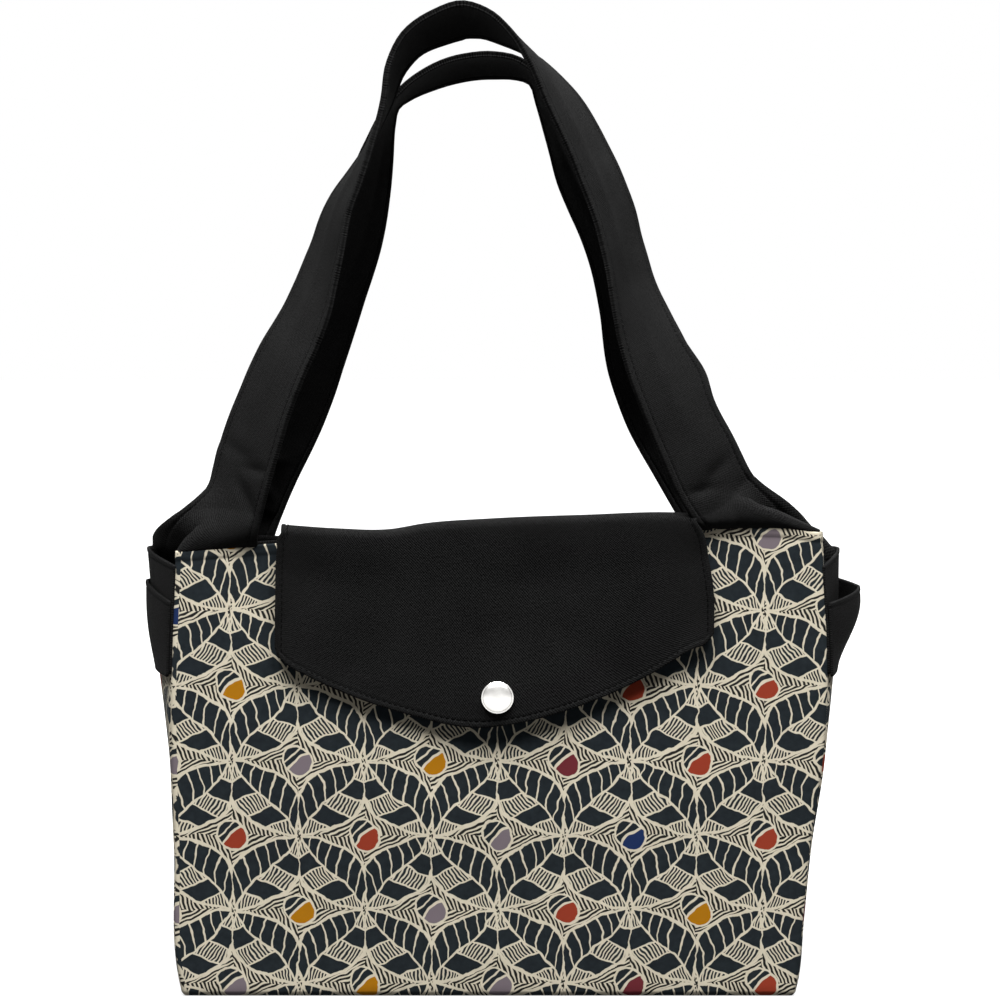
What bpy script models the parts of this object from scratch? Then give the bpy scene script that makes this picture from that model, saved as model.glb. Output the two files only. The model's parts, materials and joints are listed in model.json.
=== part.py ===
"""Fabric tote bag with a snap flap, two twisted handles and a pocket on each end.

X runs across the bag, the front faces -Y and the bag stands on Z = 0. The origin is
the middle of its base. Every panel is a slab between two faces of the same surface,
so the walls keep the cloth's real thickness over every curve.
"""
import math

import bmesh
import bpy
from mathutils import Matrix, Vector

# Driving dimensions of the body, in metres
DEPTH = 0.116
BASE_WIDTH = 0.342
MIDDLE_WIDTH = 0.365
TOP_WIDTH = 0.360
MIDDLE_HEIGHT = 0.168
FRONT_HEIGHT = 0.258
BACK_HEIGHT = 0.246
RIM_HEIGHT = 0.2445
BASE_CORNER_RADIUS = 0.008
BELLY = 0.0015

# The gusset folds outwards towards its rim
FOLD_OUT = 0.018
FOLD_START_HEIGHT = 0.080
FOLD_GROWTH = 1.3
FOLD_ROUNDNESS = 1.5

# Cloth thicknesses and the clearance between neighbours
CANVAS = 0.0018
LINING = 0.0010
FACING = 0.0012
GAP = 0.0003
SLACK = 0.0006

# Rows of a wall lie closer together near the base, where its corner is round
ROW_SPACING = 1.5

# Columns and rows of the grids that make the cloth pieces, and steps round a turned one
PANEL_GRID = (12, 10)
LINING_GRID = (10, 8)
FACING_GRID = (10, 3)
GUSSET_GRID = (10, 10)
BAND_GRID = (10, 4)
POCKET_GRID = (12, 5)
BASE_GRID = (8, 2)
FLAP_TOP_GRID = (4, 20)
FLAP_FRONT_GRID = (16, 6)
ROUND_STEPS = 28

# Black bands and pockets on the two ends
BAND_BOTTOM = 0.176
POCKET_MOUTH_HEIGHT = 0.2225
POCKET_BULGE = 0.008
POCKET_CLOTH = 0.0016

# Facings inside the top edges, and the board in the base
FACING_DEPTH = 0.040
FACING_PROUD = 0.0025
BOARD_THICKNESS = 0.0020

# Flap
FLAP_LEFT = -0.119
FLAP_RIGHT = 0.107
FLAP_DROP_LEFT = -0.1225
FLAP_DROP_RIGHT = 0.1185
FLAP_WIDENS_OVER = 0.035
FLAP_TIP_X = -0.010
FLAP_TIP_HEIGHT = 0.154
FLAP_CORNER_RISE = 0.0433
FLAP_CORNER_REACH = 0.118
FLAP_EDGE_POWER = 1.7
FLAP_CLOTH = 0.0012
FLAP_STRIP_BOTTOM = 0.222
FLAP_STRIP_CLEARANCE = 0.0008
FLAP_BACK_BEND = 0.0045
FLAP_BACK_BEND_DROP = 0.0005
FLAP_STRIP_SHARE = 0.2
FLAP_BEND_SHARE = 0.5
FLAP_LIFT_OVER_FRONT = 0.0015
FOLD_SETBACK = 0.0016

# Snap fastener
SNAP_X = -0.001
SNAP_HEIGHT = 0.1705
SNAP_CAP_RADIUS = 0.009
SNAP_CAP_RISE = 0.0032
SNAP_HOLE_RADIUS = 0.0021
SNAP_SHANK_RADIUS = 0.0016
SNAP_STUD_RADIUS = 0.0023
SNAP_FLANGE_RADIUS = 0.0050
SNAP_FLANGE_THICKNESS = 0.0006
SNAP_HEAD_LENGTH = 0.0017
SNAP_HEAD_CHAMFER = 0.0006
SNAP_SOCKET_RADIUS = 0.0060
SNAP_SOCKET_BORE = 0.0026
SNAP_SOCKET_BEVEL = 0.0005
SNAP_HOLE_LENGTH = 0.030

# Cap: share of its rise that the rolled lip takes, and how far the lip and dome draw in
CAP_LIP_SHARE = 0.22
CAP_LIP_TURN = 0.96
CAP_DOME_START = 0.93
CAP_DOME_STEPS = 7

# Handles: the band, its lean to the middle and its flared feet
BAND_WIDTH = 0.042
BAND_THICKNESS = 0.0026
HANDLE_LEAN = 0.011
HANDLE_SEAT = 0.0005
FLARE_LENGTH = 0.048
FLARE_GROWTH = 2
FOOT_CLEARANCE = 0.0012
FOOT_RIM_GAP = 0.0045
FOOT_DROP_START = 0.0045
FOOT_DROP_LENGTH = 0.012
FOOT_SPACING = 1.5
FOOT_MIDDLE_GAP = 0.0020
FRONT_HANDLE_RISE = 0.2920
BACK_HANDLE_RISE = 0.2860
BACK_LEG_DRAWN_IN = 0.010
HANDLE_STATIONS = 46
HANDLE_COLUMNS = 10

# Inner edge of a handle from its left foot to its right foot: across, height as a
# share of the rise, and the band's twist in degrees away from facing forward
HANDLE_EDGE = [
    (-0.1330, 0.000, 12),
    (-0.1275, 0.070, 28),
    (-0.1165, 0.200, 40),
    (-0.1015, 0.330, 46),
    (-0.0895, 0.450, 56),
    (-0.0830, 0.575, 68),
    (-0.0740, 0.700, 82),
    (-0.0620, 0.830, 94),
    (-0.0520, 0.925, 105),
    (-0.0360, 0.983, 111),
    (-0.0158, 1.000, 112),
    (0.0000, 0.972, 104),
    (0.0135, 0.912, 90),
    (0.0260, 0.818, 70),
    (0.0400, 0.706, 60),
    (0.0535, 0.595, 58),
    (0.0615, 0.475, 54),
    (0.0690, 0.350, 34),
    (0.0850, 0.198, 18),
    (0.1020, 0.085, 10),
    (0.1165, 0.000, 6),
]

HALF_DEPTH = DEPTH / 2
MIDDLE_LAYER = CANVAS + GAP
INNER_LAYER = MIDDLE_LAYER + LINING + GAP
LINING_FLOOR = CANVAS + BOARD_THICKNESS + 2 * GAP


def smooth(value):
    """Ease from 0 to 1, held at both ends."""
    value = min(1.0, max(0.0, value))
    return value * value * (3 - 2 * value)


def mix(start, end, share):
    return start + (end - start) * share


def half_width(height):
    """Half of the bag's width at a height, with the rounded corner at the base."""
    if height < MIDDLE_HEIGHT:
        width = mix(BASE_WIDTH, MIDDLE_WIDTH, smooth(height / MIDDLE_HEIGHT))
    else:
        rise = (height - MIDDLE_HEIGHT) / (FRONT_HEIGHT - MIDDLE_HEIGHT)
        width = mix(MIDDLE_WIDTH, TOP_WIDTH, smooth(rise))
    below = max(0.0, BASE_CORNER_RADIUS - height)
    corner = BASE_CORNER_RADIUS - math.sqrt(BASE_CORNER_RADIUS ** 2 - below ** 2)
    return width / 2 - corner


def face_depth(across, height, top):
    """Distance of a front or back panel's outer face from the bag's middle plane."""
    swell = math.sin(math.pi * height / top) * math.cos(math.pi * across / (2 * half_width(height)))
    return HALF_DEPTH + BELLY * max(0.0, swell)


def end_reach(depth, height):
    """Distance of a gusset's outer face from the bag's middle, with its outward fold."""
    rise = max(0.0, height - FOLD_START_HEIGHT) / (RIM_HEIGHT - FOLD_START_HEIGHT)
    ridge = 1 - min(1.0, abs(depth) / HALF_DEPTH) ** FOLD_ROUNDNESS
    return half_width(height) + FOLD_OUT * rise ** FOLD_GROWTH * ridge


def make_material(name, colour, roughness, metallic=0.0):
    material = bpy.data.materials.new(name)
    material.use_nodes = True
    shader = material.node_tree.nodes["Principled BSDF"]
    shader.inputs["Base Color"].default_value = (*colour, 1.0)
    shader.inputs["Roughness"].default_value = roughness
    shader.inputs["Metallic"].default_value = metallic
    material.diffuse_color = (*colour, 1.0)
    return material


def make_object(name, shape, material, pivot=None, is_round=False):
    """Turn a bmesh into a named object, with its origin on its hinge if it has one."""
    bmesh.ops.recalc_face_normals(shape, faces=shape.faces)
    mesh = bpy.data.meshes.new(name)
    shape.to_mesh(mesh)
    shape.free()
    mesh.materials.append(material.copy())
    mesh.materials[0].name = name
    if is_round:
        mesh.shade_smooth()
        mesh.set_sharp_from_angle(angle=math.radians(40))
    made = bpy.data.objects.new(name, mesh)
    bpy.context.scene.collection.objects.link(made)
    if pivot is not None:
        mesh.transform(Matrix.Translation(-pivot))
        made.location = pivot
    return made


def slab(surface, columns, rows):
    """Closed slab of cloth. surface(u, v, layer) gives its outer (0) and inner (1) face."""
    shape = bmesh.new()
    layers = []
    for layer in (0, 1):
        grid = []
        for row in range(rows + 1):
            line = [shape.verts.new(surface(column / columns, row / rows, layer))
                    for column in range(columns + 1)]
            grid.append(line)
        layers.append(grid)
    for grid in layers:
        for row in range(rows):
            for column in range(columns):
                a, b = grid[row][column], grid[row][column + 1]
                c, d = grid[row + 1][column + 1], grid[row + 1][column]
                shape.faces.new((a, b, c))
                shape.faces.new((a, c, d))
    outer, inner = (rim_of(grid) for grid in layers)
    for place in range(len(outer)):
        following = (place + 1) % len(outer)
        shape.faces.new((outer[place], outer[following], inner[following], inner[place]))
    return shape


def rim_of(grid):
    """The vertices round a grid's edge, in order."""
    bottom = grid[0]
    right = [line[-1] for line in grid[1:]]
    top = list(reversed(grid[-1][:-1]))
    left = [line[0] for line in reversed(grid[1:-1])]
    return bottom + right + top + left


def turned(profile, centre):
    """Solid of revolution about Y. profile lists (radius, distance towards the front)."""
    shape = bmesh.new()
    points = [shape.verts.new((radius, -forward, 0.0)) for radius, forward in profile]
    edges = [shape.edges.new((points[i], points[i + 1])) for i in range(len(points) - 1)]
    bmesh.ops.spin(shape, geom=points + edges, cent=(0, 0, 0), axis=(0, 1, 0),
                   angle=2 * math.pi, steps=ROUND_STEPS)
    bmesh.ops.remove_doubles(shape, verts=shape.verts, dist=0.00001)
    bmesh.ops.translate(shape, verts=shape.verts, vec=centre)
    return shape


def wall(side, bottom, top, full_height, layer_depth, thickness, edge_inset):
    """A front (-1) or back (+1) wall, layer_depth inside the outer face."""
    def surface(u, v, layer):
        height = mix(bottom, top, v ** ROW_SPACING)
        across = (half_width(height) - edge_inset) * (2 * u - 1)
        depth = face_depth(across, height, full_height) - layer_depth - thickness * layer
        return (across, side * depth, height)
    return surface


def end_wall(side, bottom, top, layer_depth, thickness, depth_inset):
    """A left (-1) or right (+1) end wall with the outward fold."""
    def surface(u, v, layer):
        height = mix(bottom, top, v ** ROW_SPACING)
        depth = (HALF_DEPTH - depth_inset) * (2 * u - 1)
        reach = end_reach(depth, height) - layer_depth - thickness * layer
        return (side * reach, depth, height)
    return surface


def pocket_wall(side):
    """An end pocket, bulging away from its band towards the open mouth."""
    def surface(u, v, layer):
        height = mix(BAND_BOTTOM + GAP, POCKET_MOUTH_HEIGHT, v)
        depth = (HALF_DEPTH - MIDDLE_LAYER) * (2 * u - 1)
        bulge = POCKET_BULGE * (1 - (2 * u - 1) ** 2) * v
        reach = end_reach(depth, height) + GAP + POCKET_CLOTH * (1 - layer) + bulge
        return (side * reach, depth, height)
    return surface


def plate(bottom, thickness, inset):
    """A flat layer in the base that follows the rounded lower edge of the ends."""
    def surface(u, v, layer):
        height = bottom + thickness * (1 - layer)
        across = (half_width(height) - inset) * (2 * u - 1)
        return (across, (HALF_DEPTH - inset) * (2 * v - 1), height)
    return surface


def build_body(cloths):
    canvas, black, lining, board = cloths
    floor = CANVAS + GAP
    for name, side, top in (("front", -1, FRONT_HEIGHT), ("back", 1, BACK_HEIGHT)):
        facing_bottom = top - FACING_DEPTH
        panel = slab(wall(side, floor, top, top, 0.0, CANVAS, 0.0), *PANEL_GRID)
        make_object(name + "_panel", panel, canvas)
        inside = slab(wall(side, LINING_FLOOR + LINING + GAP, facing_bottom - GAP, top,
                           MIDDLE_LAYER, LINING, INNER_LAYER), *LINING_GRID)
        make_object(name + "_lining", inside, lining)
        facing = slab(wall(side, facing_bottom, top + FACING_PROUD, top,
                           MIDDLE_LAYER, FACING, INNER_LAYER), *FACING_GRID)
        make_object(name + "_facing", facing, black)
    for name, side in (("left", -1), ("right", 1)):
        gusset = slab(end_wall(side, floor, BAND_BOTTOM - GAP, 0.0, CANVAS, MIDDLE_LAYER),
                      *GUSSET_GRID)
        make_object(name + "_gusset", gusset, canvas)
        band = slab(end_wall(side, BAND_BOTTOM, RIM_HEIGHT, 0.0, CANVAS, MIDDLE_LAYER),
                    *BAND_GRID)
        make_object(name + "_side_band", band, black)
        inside = slab(end_wall(side, LINING_FLOOR + LINING + GAP, RIM_HEIGHT - CANVAS,
                               MIDDLE_LAYER + SLACK, LINING, INNER_LAYER + GAP), *GUSSET_GRID)
        make_object(name + "_lining", inside, lining)
        pocket = slab(pocket_wall(side), *POCKET_GRID)
        make_object(name + "_side_pocket", pocket, black)
    make_object("base_panel", slab(plate(0.0, CANVAS, 0.0), *BASE_GRID), canvas)
    board_slab = slab(plate(CANVAS + GAP, BOARD_THICKNESS, INNER_LAYER), *BASE_GRID)
    make_object("base_board", board_slab, board)
    base_lining = slab(plate(LINING_FLOOR, LINING, INNER_LAYER), *BASE_GRID)
    make_object("base_lining", base_lining, lining)


def catmull_rom(points, share):
    """A smooth curve through evenly numbered points, share running from 0 to 1."""
    place = share * (len(points) - 1)
    first = min(int(place), len(points) - 2)
    t = place - first
    p0 = points[max(first - 1, 0)]
    p1 = points[first]
    p2 = points[first + 1]
    p3 = points[min(first + 2, len(points) - 1)]
    curve = []
    for a, b, c, d in zip(p0, p1, p2, p3):
        slope_in, slope_out = (c - a) / 2, (d - b) / 2
        curve.append(b + slope_in * t + (3 * (c - b) - 2 * slope_in - slope_out) * t ** 2
                     + (2 * (b - c) + slope_in + slope_out) * t ** 3)
    return curve


def foot_line(side, start_across, seat_height, share):
    """The seam under a handle's flared foot: along the facing, then round to the fold."""
    sign = math.copysign(1, start_across)
    front_depth = HALF_DEPTH - MIDDLE_LAYER + FACING
    inset = INNER_LAYER + SLACK + BAND_THICKNESS / 2 + FOOT_CLEARANCE
    corner = end_reach(front_depth, RIM_HEIGHT) - inset
    if share < 0.5:
        across = mix(start_across, sign * corner, 2 * share)
        return Vector((across, side * front_depth, seat_height))
    inwards = (front_depth - FOOT_MIDDLE_GAP) * (2 * share - 1) ** FOOT_SPACING
    depth = front_depth - inwards
    drop = smooth((inwards - FOOT_DROP_START) / FOOT_DROP_LENGTH)
    height = mix(seat_height, RIM_HEIGHT + FOOT_RIM_GAP, drop)
    return Vector((sign * (end_reach(depth, RIM_HEIGHT) - inset), side * depth, height))


def handle_grid(side, seat_height, rise, drawn_in):
    """Points of a handle's middle surface, from its left foot over the top to its right."""
    front_depth = HALF_DEPTH - MIDDLE_LAYER + FACING
    stations, columns = HANDLE_STATIONS, HANDLE_COLUMNS
    edge = []
    for station in range(stations + 1):
        across, share, twist = catmull_rom(HANDLE_EDGE, station / stations)
        if across < 0:
            across += drawn_in * math.sin(math.pi * min(1.0, max(0.0, share)))
        lean = HANDLE_LEAN * max(0.0, share)
        point = Vector((across, side * (front_depth - lean), seat_height + rise * max(0.0, share)))
        edge.append((point, math.radians(twist)))
    grid = []
    for station, (point, twist) in enumerate(edge):
        before = edge[max(station - 1, 0)][0]
        after = edge[min(station + 1, stations)][0]
        along = (after - before).normalized()
        outwards = Vector((-along.z, 0.0, along.x)).normalized()
        widthways = outwards * math.cos(twist) + Vector((0.0, -side * math.sin(twist), 0.0))
        foot = edge[0][0] if station < stations / 2 else edge[-1][0]
        climb = (point - foot).length
        flare = max(0.0, 1 - climb / FLARE_LENGTH) ** FLARE_GROWTH
        line = []
        for column in range(columns + 1):
            share = column / columns
            band = point + widthways * BAND_WIDTH * share
            seam = foot_line(side, foot.x, seat_height, share) + point - foot
            line.append(band.lerp(seam, flare))
        grid.append(line)
    return grid


def thickened(grid, thickness):
    """Both faces of a sheet, each half the thickness from its middle surface.

    The first and last rows are thickened level, so that the ends stand flat.
    """
    rows, columns = len(grid) - 1, len(grid[0]) - 1
    faces = []
    for sign in (0.5, -0.5):
        face = []
        for row in range(rows + 1):
            line = []
            for column in range(columns + 1):
                along = grid[min(row + 1, rows)][column] - grid[max(row - 1, 0)][column]
                over = grid[row][min(column + 1, columns)] - grid[row][max(column - 1, 0)]
                normal = along.cross(over)
                if row in (0, rows):
                    normal.z = 0.0
                line.append(grid[row][column] + normal.normalized() * thickness * sign)
            face.append(line)
        faces.append(face)
    return faces


def build_handle(name, side, panel_top, rise, drawn_in, black):
    """A flat band that twists from facing outwards on its legs to lying flat on top."""
    seat_height = panel_top + FACING_PROUD + HANDLE_SEAT
    faces = thickened(handle_grid(side, seat_height, rise, drawn_in), BAND_THICKNESS)

    def surface(u, v, layer):
        return faces[layer][round(v * HANDLE_STATIONS)][round(u * HANDLE_COLUMNS)]

    front_depth = HALF_DEPTH - MIDDLE_LAYER + FACING
    pivot = Vector((0.0, side * front_depth, seat_height))
    make_object(name, slab(surface, HANDLE_COLUMNS, HANDLE_STATIONS), black, pivot)


def flap_plane():
    """Distance of the hanging flap's inner face from the bag's middle plane."""
    stud_seat = face_depth(SNAP_X, SNAP_HEIGHT, FRONT_HEIGHT) + GAP
    return stud_seat + SNAP_FLANGE_THICKNESS + SNAP_HEAD_LENGTH + 2 * GAP


def flap_fold():
    """The line over the front's top edge where the flap folds."""
    half_stack = (LINING + GAP + FLAP_CLOTH) / 2
    height = FRONT_HEIGHT + FACING_PROUD + FLAP_LIFT_OVER_FRONT + half_stack
    return Vector((0.0, -flap_plane() - half_stack, height))


def flap_top_path(share):
    """Inner line of the flap over the opening, as (depth, height, normal) from the back."""
    fold = flap_fold()
    half_stack = (LINING + GAP + FLAP_CLOTH) / 2
    bend_depth = HALF_DEPTH + FLAP_STRIP_CLEARANCE - FLAP_BACK_BEND
    bend_height = BACK_HEIGHT - FLAP_BACK_BEND_DROP
    front = Vector((0.0, fold.y + FOLD_SETBACK, fold.z - half_stack))
    back = Vector((0.0, bend_depth, bend_height + FLAP_BACK_BEND))
    if share < FLAP_STRIP_SHARE:
        height = mix(FLAP_STRIP_BOTTOM, bend_height, share / FLAP_STRIP_SHARE)
        return Vector((0.0, bend_depth + FLAP_BACK_BEND, height)), Vector((0.0, 1.0, 0.0))
    slope = (back - front).normalized()
    lift = Vector((0.0, -slope.z, slope.y))
    if share < FLAP_BEND_SHARE:
        turn = (share - FLAP_STRIP_SHARE) / (FLAP_BEND_SHARE - FLAP_STRIP_SHARE)
        angle = math.atan2(lift.z, lift.y) * turn
        normal = Vector((0.0, math.cos(angle), math.sin(angle)))
        return Vector((0.0, bend_depth, bend_height)) + normal * FLAP_BACK_BEND, normal
    start = Vector((0.0, bend_depth, bend_height)) + lift * FLAP_BACK_BEND
    return start.lerp(front, (share - FLAP_BEND_SHARE) / (1 - FLAP_BEND_SHARE)), lift


def flap_top(offset, thickness):
    """The flap's stretch from the back panel, over the opening, to the fold."""
    def surface(u, v, layer):
        point, normal = flap_top_path(v)
        point = point + normal * (offset + thickness * (1 - layer))
        return (mix(FLAP_LEFT, FLAP_RIGHT, u), point.y, point.z)
    return surface


def flap_bottom_height(across):
    """The flap's lower edge, a shallow curve down to a tip left of the middle."""
    away = abs(across - FLAP_TIP_X) / FLAP_CORNER_REACH
    return FLAP_TIP_HEIGHT + FLAP_CORNER_RISE * away ** FLAP_EDGE_POWER


def flap_front(offset, thickness):
    """The flap's hanging stretch, straight at the sides and curved along its bottom."""
    top = flap_fold().z - FOLD_SETBACK

    def surface(u, v, layer):
        lowest = mix(FLAP_DROP_LEFT, FLAP_DROP_RIGHT, u)
        bottom = flap_bottom_height(lowest)
        height = mix(top, bottom, v)
        widening = math.sin(math.pi / 2 * min(1.0, (top - height) / FLAP_WIDENS_OVER))
        left = mix(FLAP_LEFT, FLAP_DROP_LEFT, widening)
        right = mix(FLAP_RIGHT, FLAP_DROP_RIGHT, widening)
        depth = flap_plane() + offset + thickness * (1 - layer)
        return (mix(left, right, u), -depth, height)
    return surface


def build_flap(black):
    """Two layers of cloth, each in a stretch over the opening and a hanging stretch."""
    fold = flap_fold()
    outer = LINING + GAP
    make_object("flap_top", slab(flap_top(outer, FLAP_CLOTH), *FLAP_TOP_GRID), black)
    make_object("flap_top_lining", slab(flap_top(0.0, LINING), *FLAP_TOP_GRID), black)
    make_object("flap_front", slab(flap_front(outer, FLAP_CLOTH), *FLAP_FRONT_GRID), black, fold)
    make_object("flap_front_lining", slab(flap_front(0.0, LINING), *FLAP_FRONT_GRID), black, fold)


def snap_place(forward):
    return Vector((SNAP_X, -forward, SNAP_HEIGHT))


def dome_profile(base, radius, rise, shank_radius, shank_end):
    """A domed cap with a rolled lip, on a shank that runs back through the cloth."""
    profile = [(0.0, shank_end), (shank_radius, shank_end), (shank_radius, base)]
    lip = rise * CAP_LIP_SHARE
    turn_in = radius * CAP_LIP_TURN
    profile += [(turn_in, base), (radius, base + lip / 2), (turn_in, base + lip)]
    for step in range(1, CAP_DOME_STEPS):
        angle = math.pi / 2 * step / CAP_DOME_STEPS
        out = radius * CAP_DOME_START * math.cos(angle)
        profile.append((out, base + lip + (rise - lip) * math.sin(angle)))
    profile.append((0.0, base + rise))
    return profile


def build_snap(metal):
    """Cap and socket on the flap, stud and post on the front panel."""
    fold = flap_fold()
    seat = face_depth(SNAP_X, SNAP_HEIGHT, FRONT_HEIGHT) + GAP
    flange = seat + SNAP_FLANGE_THICKNESS
    head = flange + SNAP_HEAD_LENGTH
    inner = flap_plane()
    outer = inner + LINING + GAP + FLAP_CLOTH + GAP
    centre = snap_place(0.0)
    neck = SNAP_STUD_RADIUS - SNAP_HEAD_CHAMFER / 2
    stud = [(0.0, seat), (SNAP_FLANGE_RADIUS, seat), (SNAP_FLANGE_RADIUS, flange),
            (neck, flange), (SNAP_STUD_RADIUS, head - SNAP_HEAD_CHAMFER),
            (neck, head), (0.0, head)]
    make_object("snap_stud", turned(stud, centre), metal, None, True)
    bevelled = SNAP_SOCKET_RADIUS - SNAP_SOCKET_BEVEL
    socket = [(SNAP_SOCKET_BORE, flange + GAP), (bevelled, flange + GAP),
              (SNAP_SOCKET_RADIUS, flange + 2 * GAP), (SNAP_SOCKET_RADIUS, inner - GAP),
              (SNAP_SOCKET_BORE, inner - GAP), (SNAP_SOCKET_BORE, flange + GAP)]
    make_object("snap_socket", turned(socket, centre), metal, fold, True)
    cap = dome_profile(outer, SNAP_CAP_RADIUS, SNAP_CAP_RISE, SNAP_SHANK_RADIUS, head + GAP)
    make_object("snap_cap", turned(cap, centre), metal, fold, True)
    inside = seat - GAP - INNER_LAYER
    post = [(0.0, inside - SNAP_FLANGE_THICKNESS), (SNAP_FLANGE_RADIUS, inside - SNAP_FLANGE_THICKNESS),
            (SNAP_FLANGE_RADIUS, inside), (SNAP_SHANK_RADIUS, inside),
            (SNAP_SHANK_RADIUS, seat - GAP), (0.0, seat - GAP)]
    make_object("snap_post", turned(post, centre), metal, None, True)


def cut_snap_hole(material):
    """One straight hole for the snap through the flap, the front panel and its lining."""
    shape = bmesh.new()
    bmesh.ops.create_cone(shape, cap_ends=True, segments=16, radius1=SNAP_HOLE_RADIUS,
                          radius2=SNAP_HOLE_RADIUS, depth=SNAP_HOLE_LENGTH,
                          matrix=Matrix.Rotation(math.pi / 2, 4, "X"))
    bmesh.ops.translate(shape, verts=shape.verts, vec=snap_place(HALF_DEPTH))
    cutter = make_object("snap_hole_cutter", shape, material)
    cutter.hide_render = True
    cutter.display_type = "WIRE"
    for name in ("flap_front", "flap_front_lining", "front_panel", "front_lining"):
        hole = bpy.data.objects[name].modifiers.new("snap_hole", "BOOLEAN")
        hole.operation = "DIFFERENCE"
        hole.solver = "EXACT"
        hole.object = cutter


def main():
    for old in list(bpy.data.objects):
        bpy.data.objects.remove(old, do_unlink=True)
    canvas = make_material("printed_canvas", (0.26, 0.25, 0.23), 0.85)
    black = make_material("black_twill", (0.012, 0.012, 0.013), 0.88)
    lining = make_material("lining_cloth", (0.018, 0.018, 0.020), 0.80)
    board = make_material("board", (0.42, 0.34, 0.24), 0.90)
    metal = make_material("snap_metal", (0.78, 0.77, 0.75), 0.22, 1.0)
    build_body((canvas, black, lining, board))
    build_flap(black)
    build_handle("front_handle", -1, FRONT_HEIGHT, FRONT_HANDLE_RISE, 0.0, black)
    build_handle("back_handle", 1, BACK_HEIGHT, BACK_HANDLE_RISE, BACK_LEG_DRAWN_IN, black)
    build_snap(metal)
    cut_snap_hole(metal)


main()
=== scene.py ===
"""Looks of the fabric tote bag: soft printed body, black flap, handles, bands and snap.

Everything is in metres in the frame's own space: X across the bag, the front faces -Y,
and the bag stands on Z = 0. Every cloth piece is a grid of points on the cloth's middle
surface that is thickened, and carries a map of the flat cloth in metres for its weave.
"""
import json
import math

import bmesh
import bpy
import numpy as np
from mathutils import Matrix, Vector, noise


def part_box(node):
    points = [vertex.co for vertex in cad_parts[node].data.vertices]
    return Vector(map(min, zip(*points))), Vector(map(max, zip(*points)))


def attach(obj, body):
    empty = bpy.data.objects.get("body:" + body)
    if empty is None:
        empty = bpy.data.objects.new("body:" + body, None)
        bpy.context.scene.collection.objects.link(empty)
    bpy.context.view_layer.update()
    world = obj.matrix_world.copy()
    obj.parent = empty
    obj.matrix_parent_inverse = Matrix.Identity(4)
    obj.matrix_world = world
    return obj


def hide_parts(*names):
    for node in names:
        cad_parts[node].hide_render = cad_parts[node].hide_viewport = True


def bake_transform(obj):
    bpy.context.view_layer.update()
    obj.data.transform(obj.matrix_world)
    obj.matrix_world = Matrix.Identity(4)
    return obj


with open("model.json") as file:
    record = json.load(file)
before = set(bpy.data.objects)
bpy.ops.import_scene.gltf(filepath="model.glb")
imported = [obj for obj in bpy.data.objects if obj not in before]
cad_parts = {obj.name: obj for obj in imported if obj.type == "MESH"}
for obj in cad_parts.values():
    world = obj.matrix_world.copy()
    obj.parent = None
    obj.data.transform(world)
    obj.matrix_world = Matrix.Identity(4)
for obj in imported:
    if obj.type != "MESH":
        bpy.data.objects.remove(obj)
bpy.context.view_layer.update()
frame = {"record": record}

# Sizes that come from the frame
HALF_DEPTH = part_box("base_panel")[1].y
FRONT_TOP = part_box("front_panel")[1].z
BACK_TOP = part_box("back_panel")[1].z
BAND_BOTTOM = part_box("left_side_band")[0].z
CAP_LOW, CAP_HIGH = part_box("snap_cap")
SNAP_CENTRE = (CAP_LOW + CAP_HIGH) / 2
HINGES = {joint["name"]: Vector(joint["pos_m"]) for joint in frame["record"]["behaviour"]["joints"]}

# Cloth thicknesses
CANVAS = 0.0018
TWILL = 0.0014
LINING = 0.0010

# Stitch line: its distance from the edge, and each stitch's length, step, radius and sides
HEM_STITCH = 0.0030
STITCH_LENGTH = 0.0026
STITCH_STEP = 0.0033
STITCH_RADIUS = 0.00026
STITCH_SIDES = 6
# A stitch's outline as (place along it, thickness), in shares, and how far its ends sink in
STITCH_PROFILE = ((-0.5, 0.35), (-0.32, 0.95), (0.0, 1.1), (0.32, 0.95), (0.5, 0.35))
STITCH_SINK = 0.00030


def smooth(value):
    value = np.clip(value, 0.0, 1.0)
    return value * value * (3 - 2 * value)


def curve(places, values, at):
    """Smooth curve through values at places, read at the given spots."""
    places, values, at = (np.asarray(x, float) for x in (places, values, at))
    slopes = np.gradient(values, places)
    index = np.clip(np.searchsorted(places, at, side="right") - 1, 0, len(places) - 2)
    width = places[index + 1] - places[index]
    t = np.clip((at - places[index]) / width, 0.0, 1.0)
    low, high = values[index], values[index + 1]
    m0, m1 = slopes[index] * width, slopes[index + 1] * width
    return (low + m0 * t + (3 * (high - low) - 2 * m0 - m1) * t ** 2
            + (2 * (low - high) + m0 + m1) * t ** 3)


def table(points, at):
    """Smooth curve through pairs of (place, value), level beyond its ends."""
    places, values = zip(*points)
    return curve(places, values, np.clip(at, places[0], places[-1]))


def between(value, low, high, soft):
    """1 between low and high, falling to 0 at both over a soft border."""
    return smooth((value - low) / soft) * smooth((high - value) / soft)


def xyz(x, y, z):
    """Points from their coordinates, each an array or one number."""
    return np.stack(np.broadcast_arrays(x, y, z), axis=-1)


def so_far(steps):
    """Running total of the steps, from 0."""
    return np.concatenate([[0], np.cumsum(steps)])


def ripple(points, size, seed):
    """Soft noise of about -1 to 1 at each point, with swells of the given size."""
    flat = points.reshape(-1, 3)
    shift = Vector((seed * 7.3, seed * 3.1, seed * 5.7))
    found = [noise.noise(Vector(point) / size + shift) for point in flat]
    return np.array(found).reshape(points.shape[:-1])


def unit(vectors):
    length = np.linalg.norm(vectors, axis=-1, keepdims=True)
    return vectors / np.maximum(length, 1e-12)


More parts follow.
